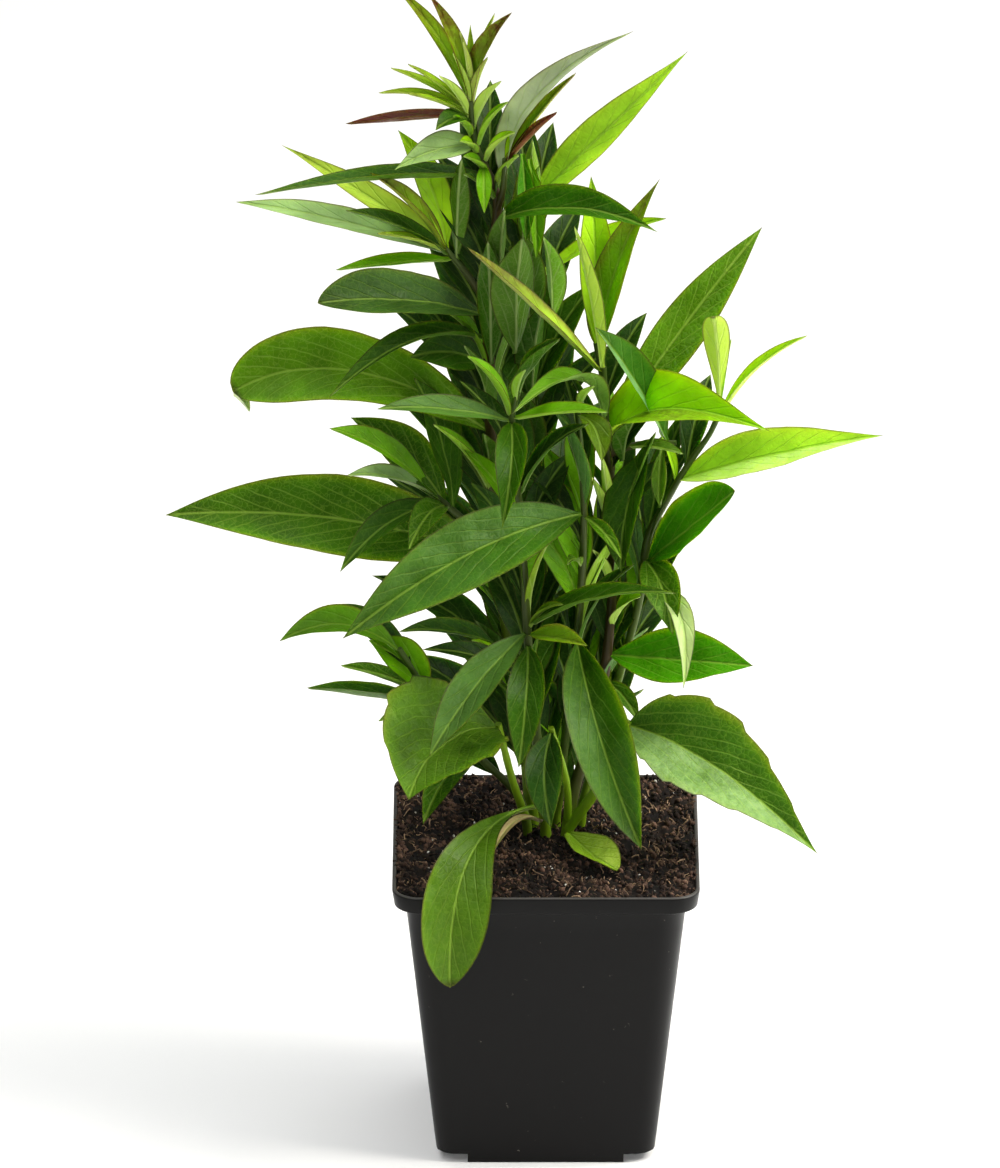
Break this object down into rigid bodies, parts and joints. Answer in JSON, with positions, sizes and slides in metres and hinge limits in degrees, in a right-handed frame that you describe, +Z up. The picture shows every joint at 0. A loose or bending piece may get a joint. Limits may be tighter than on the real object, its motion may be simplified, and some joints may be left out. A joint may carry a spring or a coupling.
{
  "type": "potted cushion aster",
  "caption": "Young bushy aster with upright leafy stems of lance-shaped leaves, standing in a square tapered nursery pot of soil.",
  "frame": {"origin": "middle of the underside of the pot, on the ground", "axes": "+Z up along the plant, -Y towards the front side with the hanging leaf over the rim, +X towards the right of that side"},
  "size_m": [0.209, 0.1355, 0.357],
  "materials": {
    "pot_plastic": "satin",
    "potting_soil": "rough",
    "leaf_green": "satin",
    "leaf_lime": "satin"
  },
  "bodies": {
    "root": {"pot": "pot_plastic", "soil": "potting_soil", "stem_tall": "leaf_green", "stem_front": "leaf_green", "stem_middle": "leaf_green", "stem_right": "leaf_green", "stem_outer": "leaf_lime", "stem_back": "leaf_green", "stem_left": "leaf_lime"}
  },
  "joints": []
}
